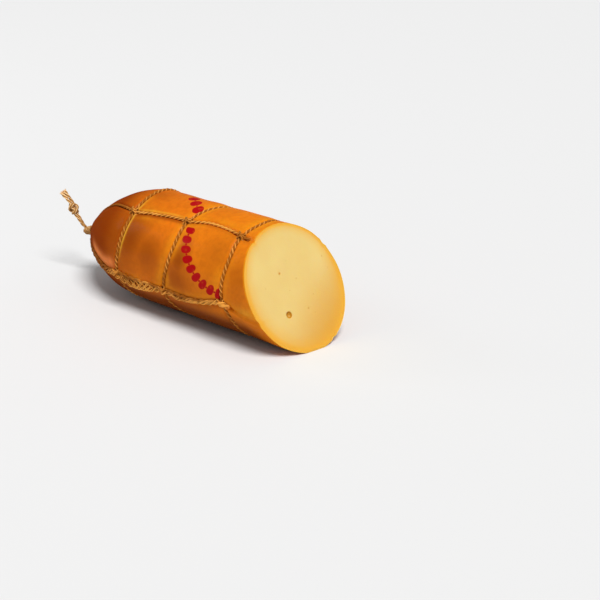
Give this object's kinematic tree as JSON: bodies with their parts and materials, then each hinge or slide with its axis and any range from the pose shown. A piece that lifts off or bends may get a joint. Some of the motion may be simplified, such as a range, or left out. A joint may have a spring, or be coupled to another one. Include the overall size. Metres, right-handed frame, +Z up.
{
  "type": "provolone cheese",
  "caption": "Smoked log-shaped provolone in a glossy casing, netted with twine, domed and tied at one end and cut across at the other.",
  "frame": {"origin": "on the ground, in the middle under the log and its wrapped neck, without the tail's free twine", "axes": "+X along the log from the tied tail to the cut face, +Z up"},
  "size_m": [0.358, 0.1182, 0.115],
  "materials": {
    "cheese": "thin glossy smoked casing, orange to brown, over pale yellow paste that shows at the cut face",
    "twine": "plied natural twine, smoked straw brown, paler at the tail"
  },
  "bodies": {
    "root": {"cheese": "cheese", "hoop_1": "twine", "hoop_2": "twine", "hoop_3": "twine", "lower_cord": "twine", "upper_cord": "twine", "far_upper_cord": "twine", "far_lower_cord": "twine", "tail_wrap": "twine", "tail_twine_1": "twine", "tail_twine_2": "twine", "tail_knot": "twine", "tail_end_1": "twine", "tail_end_2": "twine"}
  },
  "joints": []
}
